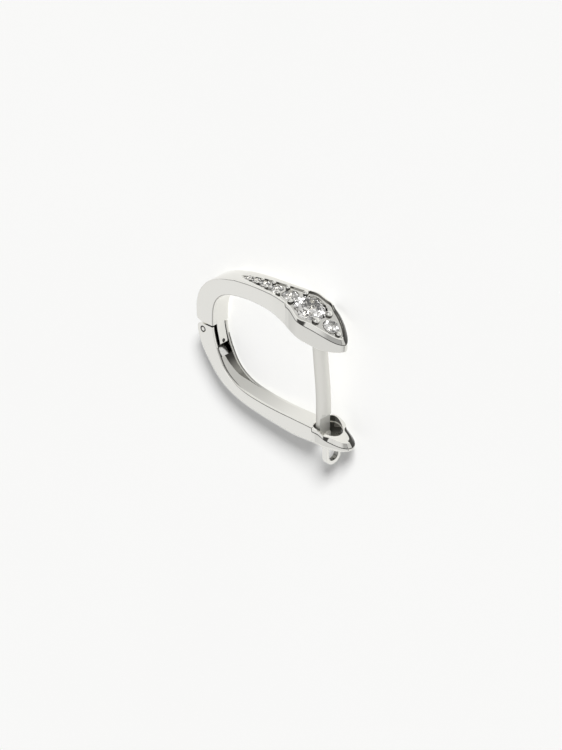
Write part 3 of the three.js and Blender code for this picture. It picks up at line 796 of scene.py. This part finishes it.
# %% A node tree that carries a section along a line
def drawn_tree():
    tree = bpy.data.node_groups.new("drawn_section", "GeometryNodeTree")
    group_input(tree, "Line", "NodeSocketGeometry")
    for name, default in (("Thickness", 1.0), ("Width", 1.0), ("Corner", 0.1)):
        group_input(tree, name, "NodeSocketFloat", default)
    group_input(tree, "Corner Steps", "NodeSocketInt", 6)
    group_input(tree, "Finish", "NodeSocketMaterial")
    tree.interface.new_socket(name="Drawn", in_out="OUTPUT", socket_type="NodeSocketGeometry")
    start = add(tree, "NodeGroupInput")
    line = add(tree, "GeometryNodeMeshToCurve", [("Mesh", start.outputs["Line"])])
    upright = add(tree, "GeometryNodeSetCurveNormal", [("Curve", line.outputs["Curve"])],
                  mode="Z_UP")
    section = add(tree, "GeometryNodeCurvePrimitiveQuadrilateral",
                  [("Width", start.outputs["Thickness"]), ("Height", start.outputs["Width"])])
    fillet = add(tree, "GeometryNodeFilletCurve",
                 [("Curve", section.outputs["Curve"]), ("Radius", start.outputs["Corner"]),
                  ("Count", start.outputs["Corner Steps"])], mode="POLY")
    fillet.inputs["Limit Radius"].default_value = True
    drawn = add(tree, "GeometryNodeCurveToMesh",
                [("Curve", upright.outputs["Curve"]), ("Profile Curve", fillet.outputs["Curve"])])
    drawn.inputs["Fill Caps"].default_value = True
    coated = add(tree, "GeometryNodeSetMaterial", [("Geometry", drawn.outputs["Mesh"]),
                                                   ("Material", start.outputs["Finish"])])
    add(tree, "NodeGroupOutput", [("Drawn", coated.outputs["Geometry"])])
    return tree


drawn_section = drawn_tree()
# Stands a flat line up in the hoop's plane, and lays a turned pin across the band.
QUARTER_TURN = Matrix.Rotation(math.pi / 2, 4, "X")


def drawn(name, line, thickness, width, corner, material):
    """A wire or strip along a flat line of x and height, stood up in the hoop's plane."""
    mesh = bpy.data.meshes.new(name)
    mesh.from_pydata([(x, z, 0) for x, z in line], [(i, i + 1) for i in range(len(line) - 1)], [])
    piece = run_tree(new_object(name, mesh), drawn_section, Thickness=thickness, Width=width,
                     Corner=corner, Finish=material)
    shape = bmesh.new()
    shape.from_mesh(piece.data)
    bmesh.ops.remove_doubles(shape, verts=shape.verts, dist=1e-4)
    bmesh.ops.recalc_face_normals(shape, faces=shape.faces)
    shape.to_mesh(piece.data)
    shape.free()
    piece.data.transform(QUARTER_TURN)
    print(name, "spans", [round(size, 2) for size in piece.dimensions])
    return piece


# %% Ear post
POST_LINE = [(8.98, 3.10), (9.22, 0.60), (9.42, -1.60), (9.45, -3.60), (9.40, -5.27)]
POST_WIDTH = 1.0
# The notch is cut into the side of the post that faces the point, with a sloping shoulder above it.
NOTCH = dict(side_x=9.95, depth=0.36, top=-3.35, bottom=-4.55, shoulder=0.32)


def slab(name, outline, half):
    """A flat plate with an outline in the hoop's plane."""
    shape = bmesh.new()
    near = [shape.verts.new((x, -half, z)) for x, z in outline]
    far = [shape.verts.new((x, half, z)) for x, z in outline]
    shape.faces.new(near)
    shape.faces.new(far[::-1])
    for i in range(len(outline)):
        j = (i + 1) % len(outline)
        shape.faces.new((near[i], far[i], far[j], near[j]))
    return from_bmesh(name, shape)


post = drawn("post", through(POST_LINE, 12), POST_WIDTH, POST_WIDTH, POST_WIDTH / 2, rhodium)
notch_x, shoulder_z = NOTCH["side_x"] - NOTCH["depth"], NOTCH["top"] + NOTCH["shoulder"]
notch = slab("notch", [(notch_x, NOTCH["bottom"]), (12, NOTCH["bottom"]), (12, shoulder_z),
                       (NOTCH["side_x"], shoulder_z), (notch_x, NOTCH["top"])], POST_WIDTH)
cut(post, notch)
mark(post, "satin", lambda middle, normal: 1.0)
# Painted shade on the faces of the notch.
mark(post, "recess", lambda middle, normal: 0.10 if normal.x > 0.6 and middle.x > 9.5 and
     NOTCH["bottom"] - 0.01 < middle.z < shoulder_z else None)
end = turned([(0, 0.02), (0.5, 0.02), (0.5, 0), (0.48, -0.08), (0.42, -0.14), (0.31, -0.19),
              (0, -0.19)], 32, "post_end")
end.data.transform(Matrix.Translation((POST_LINE[-1][0], 0, POST_LINE[-1][1])))

# %% [markdown]
# ## Hinge
#
# A tongue under the upper arm reaches into the lower one and turns on a pin between two cheeks.
# Its rounded nose is what the spring pushes on, with a small dimple above it. It is sawn from flat
# stock, so it starts as an outline with a thickness, and its edges are broken with a Bevel
# modifier.

# %% Tongue of the upper arm
KNUCKLE, CLEARANCE, PIN_HOLE = 0.52, 0.72, 0.24
TONGUE_HALF, CHEEKS_HALF = 0.36, 0.52
DIMPLE = (0.21, 0, -1.14)
tongue_outline = [(-1.30, 0.60), (-1.30, 0.0)]
tongue_outline += [(PIVOT.x + KNUCKLE * math.cos(a), PIVOT.z + KNUCKLE * math.sin(a))
                   for a in (math.radians(144 + 8 * i) for i in range(15))]
tongue_outline += [(-0.62, -1.02), (-0.30, -1.36), (-0.22, -1.42), (-0.12, -1.45), (0.06, -1.46),
                   (0.18, -1.44), (0.27, -1.39), (0.32, -1.30), (0.32, -1.22), (0.30, -1.15),
                   (0.10, -0.30), (-0.02, 0.60)]


def cross_bar(radius, half):
    """A round bar through the hinge, to cut a hole or a clearance with."""
    bar = turned([(0, -half), (radius, -half), (radius, half), (0, half)], 48, "bar")
    bar.data.transform(Matrix.Translation(PIVOT) @ QUARTER_TURN)
    return bar


tongue = slab("tongue", tongue_outline, TONGUE_HALF)
dimple = turned([(0, -0.1), (0.06, -0.09), (0.13, 0), (0.15, 0.3), (0, 0.3)], 24, "dimple")
dimple.data.transform(Matrix.Translation(DIMPLE) @ Matrix.Rotation(math.pi / 2, 4, "Y"))
cut(round_edges(tongue, 0.03), dimple)
cut(tongue, cross_bar(PIN_HOLE, 1.0))
# Painted shade in the dimple of the tongue's nose.
mark(tongue, "recess", lambda middle, normal: 0.95 if 0.05 < middle.x < 0.262 and
     math.hypot(middle.y, middle.z - DIMPLE[2]) < 0.16 else None)

upper_arm = joined([band, beads, tongue, post, end], "upper_arm")
finished(upper_arm, rhodium)
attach(upper_arm, "front")
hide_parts("front_arm")

# %% [markdown]
# ## Lower arm
#
# The lower arm is the same kind of bar, but its outer edges are rounded more and more along the
# way. Its hollow takes the tongue, gets shallower and runs out along the inner face. At its end the
# bar becomes a pointed collar with a plain bevelled rim, pierced for the post, and the far wall of
# the collar stands up as a low lip. What turns needs room, so a round clearance is cut between the
# cheeks.

# %% Lower arm as one loft
TIP = dict(start_x=9.15, start_half=0.85, corner_x=10.45, corner_half=1.12, tip_x=12.06, full=0.80,
           full_at=0.39, blunt=0.66, start_z=-4.05, rim_z=-4.08, rim_at_x=10.50, slope=-0.27, bow=0,
           bow_from_x=9.15, bow_to_x=12.06, rim_height=0.25, rim_width=0.20, bevel=0.24, well=0.0)
# Outer face x, z, inner face x, z, half width, hollow's half width, depth, rounding of outer edges.
LOWER_ROWS = [
    (-1.01, 0.00, 0.00, 0.00, 0.76, 0.52, 0.80, 0.07),
    (-1.31, -0.12, 0.00, -0.10, 0.76, 0.52, 1.00, 0.07),
    (-1.43, -0.42, 0.02, -0.32, 0.76, 0.52, 1.17, 0.08),
    (-1.28, -1.07, 0.16, -0.90, 0.76, 0.52, 1.19, 0.09),
    (-1.11, -1.60, 0.30, -1.30, 0.76, 0.52, 1.12, 0.12),
    (-0.80, -2.27, 0.50, -1.78, 0.76, 0.52, 0.62, 0.18),
    (0.00, -3.38, 0.95, -2.60, 0.76, 0.52, 0.40, 0.24),
    (0.73, -4.04, 1.50, -3.17, 0.76, 0.52, 0.27, 0.26),
    (1.66, -4.55, 2.30, -3.62, 0.76, 0.52, 0.09, 0.28),
    (2.90, -4.92, 3.30, -3.87, 0.76, 0.52, 0, 0.28),
    (4.40, -5.17, 4.60, -4.02, 0.76, 0.52, 0, 0.28),
    (5.90, -5.34, 6.00, -4.08, 0.76, 0.52, 0, 0.28),
    (7.20, -5.42, 7.20, -4.08, 0.77, 0.52, 0, 0.26),
    (8.40, -5.30, 8.40, -4.06, 0.81, 0.52, 0, 0.20),
    (9.10, -5.20, 9.10, -4.05, 0.842, 0.52, 0, 0.16),
]
OUTER_FACE = [(9.10, -5.20), (10.20, -5.04), (11.40, -5.00), (12.60, -4.98)]

lower_bar = cap_ribs(ribs_of_bar(LOWER_ROWS, 8), -1)
lower_ribs = lower_bar + ribs_of_end(TIP, lambda x: height_on(OUTER_FACE, x), edge=0.14)


def lower_painted_shade(rib, strip, side):
    """Painted shade on the lower arm: the hollow with its edges, the inner face darker towards the
    hinge, and the far side near the hinge.
    """
    if rib >= len(lower_bar):
        return end_painted_shade(rib - len(lower_bar), strip, side)
    row = lower_ribs[rib]
    depth = math.hypot(row[WALL].x - row[FLOOR].x, row[WALL].z - row[FLOOR].z)
    # Painted shade along the inner face, darker towards the hinge.
    inside = 0.32 * (1 - smooth((row[0].x - 2.0) / 6.0))
    if strip in (*FOOT, BEVEL) and side == FAR and row[0].z < -1:
        return 0.90 * (1 - smooth((row[0].x + 0.5) / 6.5))
    if strip == RIM and side == NEAR:
        return max(inside, min(1.0, 12 * depth))
    if strip == BEVEL and row[0].z < -1.8:
        return min(0.85, 2.4 * depth)
    if strip == WALL:
        return max(inside, min(1.0, 2.4 * depth))
    return inside if strip in (RIM, FLOOR) else 0.0


lower_arm = loft("lower_arm", lower_ribs, lower_painted_shade)

# %% Lip, hole and hinge cuts of the lower arm
# How far the far wall stands up along the collar, and where it starts across it.
FAR_LIP = [(9.00, 0.0), (9.15, 0.30), (9.50, 0.44), (9.90, 0.38), (10.25, 0.20), (10.60, 0.0)]
LIP_FROM_Y = 0.3
# One side of the hole's plan, and its middle.
HOLE = [(8.80, 0), (8.91, 0.38), (9.30, 0.64), (9.90, 0.77), (10.45, 0.68), (10.80, 0.36),
        (10.90, 0)]
HOLE_X = 9.9

for vertex in lower_arm.data.vertices:
    x, y, z = vertex.co
    on_rim = z > rim_height(TIP, x) - 0.3
    if y > LIP_FROM_Y and FAR_LIP[0][0] < x < FAR_LIP[-1][0] and on_rim:
        vertex.co.z += height_on(FAR_LIP, x) * smooth((y - LIP_FROM_Y) / 0.4)


def hole_cutter():
    """What is taken out for the post: straight walls that widen a little at the rim."""
    side = through(HOLE, 8)
    plan = [Vector(p) for p in side + [(x, -y) for x, y in side[-2:0:-1]]]
    middle = Vector((HOLE_X, 0))
    shape = bmesh.new()
    rings = []
    for wider, height in ((0, lambda x: -9), (0, lambda x: rim_height(TIP, x) - 0.06),
                          (0.05, lambda x: rim_height(TIP, x)), (0.05, lambda x: -2)):
        ring = [p + (p - middle).normalized() * wider for p in plan]
        rings.append([shape.verts.new((p.x, p.y, height(p.x))) for p in ring])
    shape.faces.new(rings[0][::-1])
    shape.faces.new(rings[-1])
    for low, high in zip(rings, rings[1:]):
        for i in range(len(plan)):
            j = (i + 1) % len(plan)
            shape.faces.new((low[i], low[j], high[j], high[i]))
    return from_bmesh("hole", shape)


# Painted shade on the wall of the hole for the post.
def hole_wall_painted_shade(middle, normal):
    inside = 8.7 < middle.x < 11.0 and abs(middle.y) < 0.9 and abs(normal.z) < 0.3
    inwards = normal.x * (HOLE_X - middle.x) - normal.y * middle.y > 0
    return 0.75 if inside and inwards and middle.z > -5.2 else None


cut(lower_arm, hole_cutter())
mark(lower_arm, "recess", hole_wall_painted_shade)
cut(lower_arm, cross_bar(CLEARANCE, CHEEKS_HALF))
cut(lower_arm, cross_bar(PIN_HOLE, 2.0))
print("lower arm:", len(lower_ribs), "ribs,", len(lower_arm.data.polygons), "faces")

# %% Guard, pin and spring
# The guard is a U: two legs, and a half circle with its centre at bend_z.
GUARD = dict(x=10.20, radius=0.58, top=-4.75, leg_middle=-5.3, bend_z=-5.90)
legs = [(GUARD["radius"], GUARD["leg_middle"]), (GUARD["radius"], GUARD["top"])]
guard_line = [(-across, height) for across, height in legs[::-1]]
guard_line += [(-GUARD["radius"] * math.cos(a), GUARD["bend_z"] - GUARD["radius"] * math.sin(a))
               for a in (math.radians(9 * i) for i in range(21))]
guard_line += legs
guard = drawn("guard", guard_line, 0.28, 0.42, 0.05, rhodium)
guard.data.transform(Matrix.Translation((GUARD["x"], 0, 0)) @ Matrix.Rotation(math.pi / 2, 4, "Z"))
# Painted shade on the inside of the guard's U.
mark(guard, "recess", lambda middle, normal: 0.7 if abs(normal.x) < 0.5 and (
    normal.y * middle.y < -0.1 or (normal.z > 0.3 and middle.z < -5.2)) else None)
arm = joined([lower_arm, guard], "lower_arm_polished")
finished(arm, rhodium)
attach(arm, "back")
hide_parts("back_arm")

PIN_END = [(0.20, 0.71), (0.18, 0.745), (0.13, 0.76), (0, 0.76)]
pin = turned([(radius, -z) for radius, z in PIN_END[::-1]] + PIN_END, 40, "riveted_pin")
# Painted shade on the rounded rims of the pin's two heads.
mark(pin, "recess", lambda middle, normal: 0.9 if 0.15 < abs(normal.z) < 0.97 else None)
pin.data.transform(Matrix.Translation(PIVOT) @ QUARTER_TURN)
finished(pin, rhodium)
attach(pin, "back")
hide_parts("hinge_pin")

SPRING_LINE = [(0.42, -2.24), (0.02, -1.86), (-0.40, -1.56), (-0.68, -1.28)]
spring = drawn("leaf_spring", through(SPRING_LINE, 6), 0.10, 0.60, 0.03, spring_steel)
finished(spring, spring_steel)
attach(spring, "back")
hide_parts("snap_spring")

# %% [markdown]
# ## Floor, light and camera
#
# Polished metal shows only what is round it, so the sky is a light tent that only reflections see.
# Its walls are pale and its far side paler, one panel is bright and one card is dark. A dark strip
# along the horizon draws a thin dark line along each rounded edge, because an edge sweeps its
# reflection from the sky down to the floor and passes the horizon on the way. The floor gets plain
# light from all round instead, and the camera sees a plain pale sky. A broad sun from the head's
# side has no mirror image. It throws one soft shadow, of the lower arm with its pin and spring
# only, so that the floor inside the hoop stays clear.

# %% Floor and sky
floor_paper, tree, shader = new_material("floor_pale_matt_paper")
place = add(tree, "ShaderNodeTexCoord").outputs["Object"]
tone = two_tones(tree, noise(tree, place, 0.05), "#F6F6F5", "#F8F8F7")
tree.links.new(tone, shader.inputs["Base Color"])
shader.inputs["Roughness"].default_value = 0.9
shader.inputs["Specular IOR Level"].default_value = 0.1

FLOOR_RADIUS = 0.4
shape = bmesh.new()
bmesh.ops.create_circle(shape, cap_ends=True, segments=96, radius=FLOOR_RADIUS)
mesh = bpy.data.meshes.new("floor")
shape.to_mesh(mesh)
shape.free()
floor = new_object("floor", mesh)
mesh.materials.append(floor_paper)

world = bpy.data.worlds.new("light_tent")
bpy.context.scene.world = world
world.use_nodes = True
tree = world.node_tree
background = tree.nodes["Background"]
view = add(tree, "ShaderNodeTexCoord")


def smooth_step(value, low, high, dark, bright):
    ramp = add(tree, "ShaderNodeMapRange", [("Value", value)], interpolation_type="SMOOTHSTEP",
               From_Min=low, From_Max=high, To_Min=dark, To_Max=bright)
    return ramp.outputs[0]


def towards(direction):
    facing = add(tree, "ShaderNodeVectorMath", [(0, view.outputs["Generated"])],
                 operation="DOT_PRODUCT")
    facing.inputs[1].default_value = Vector(direction).normalized()
    return facing.outputs["Value"]


def combined(operation, a, b):
    return add(tree, "ShaderNodeMath", [(0, a), (1, b)], operation=operation).outputs[0]


# Brightness of the plain light on the floor, and of the sky that the camera sees.
FLOOR_LIGHT, SEEN_SKY = 0.42, 0.93
SUN_POWER, SUN_SPREAD, SUN_FROM = 3.70, 18, (0.42, 0.80, 0.53)

pale_wall = smooth_step(towards((0, -0.75, 0.66)), 0.20, 0.72, 0.62, 0.90)
bright_panel = smooth_step(towards((0.25, 0.60, 0.76)), 0.80, 1.0, 0.0, 1.2)
horizon = smooth_step(towards((0, 0, 1)), 0.0, 0.05, 0.02, 1.0)
dark_card = smooth_step(towards((-0.72, 0.62, 0.30)), 0.82, 0.97, 1.0, 0.22)
tent = combined("MULTIPLY", combined("MULTIPLY", horizon, dark_card),
                combined("MAXIMUM", pale_wall, bright_panel))
path = add(tree, "ShaderNodeLightPath")
mirrored = add(tree, "ShaderNodeMix", [(0, path.outputs["Is Glossy Ray"]), (3, tent)],
               data_type="FLOAT")
mirrored.inputs[2].default_value = FLOOR_LIGHT
chosen = add(tree, "ShaderNodeMix", [(0, path.outputs["Is Camera Ray"]), (2, mirrored.outputs[0])],
             data_type="FLOAT")
chosen.inputs[3].default_value = SEEN_SKY
tree.links.new(chosen.outputs[0], background.inputs["Strength"])
background.inputs["Color"].default_value = (1, 1, 1, 1)

sun_data = bpy.data.lights.new("sun", "SUN")
sun_data.energy, sun_data.angle = SUN_POWER, math.radians(SUN_SPREAD)
sun = bpy.data.objects.new("sun", sun_data)
bpy.context.scene.collection.objects.link(sun)
sun.visible_glossy = False
sun.rotation_mode = "QUATERNION"
sun.rotation_quaternion = Vector(SUN_FROM).to_track_quat("Z", "Y")
lower_side = bpy.data.collections.new("throws_the_shadow")
for piece in (arm, pin, spring):
    lower_side.objects.link(piece)
sun.light_linking.blocker_collection = lower_side

# %% Camera
# What the camera looks at and its two directions are given in the upright hoop.
LOOK_AT, RIGHT, BACK = (5.58, 0, -1.75), (0.7247, 0.6890, 0.0), (0.5987, -0.6298, 0.4937)
LENS, SENSOR, FRAME_HEIGHT = 250.0, 36.0, 0.0497

look_at = lay_down @ Vector(LOOK_AT)
right = (turn @ Vector(RIGHT)).normalized()
back = (turn @ Vector(BACK)).normalized()
right = (right - back * right.dot(back)).normalized()
up = back.cross(right)
distance = 0.5 * FRAME_HEIGHT / (0.5 * SENSOR / LENS)
camera_data = bpy.data.cameras.new("camera")
camera_data.lens, camera_data.sensor_width = LENS, SENSOR
camera_data.clip_start, camera_data.clip_end = 0.01, 10
camera = bpy.data.objects.new("camera", camera_data)
bpy.context.scene.collection.objects.link(camera)
camera.matrix_world = Matrix.Translation(look_at + back * distance) @ Matrix(
    (right, up, back)).transposed().to_4x4()
bpy.context.scene.camera = camera
bpy.context.scene.view_settings.view_transform = "Standard"
print("camera at %.0f mm, %.0f degrees above the floor" % (
    distance * 1000, math.degrees(math.asin(back.z))))
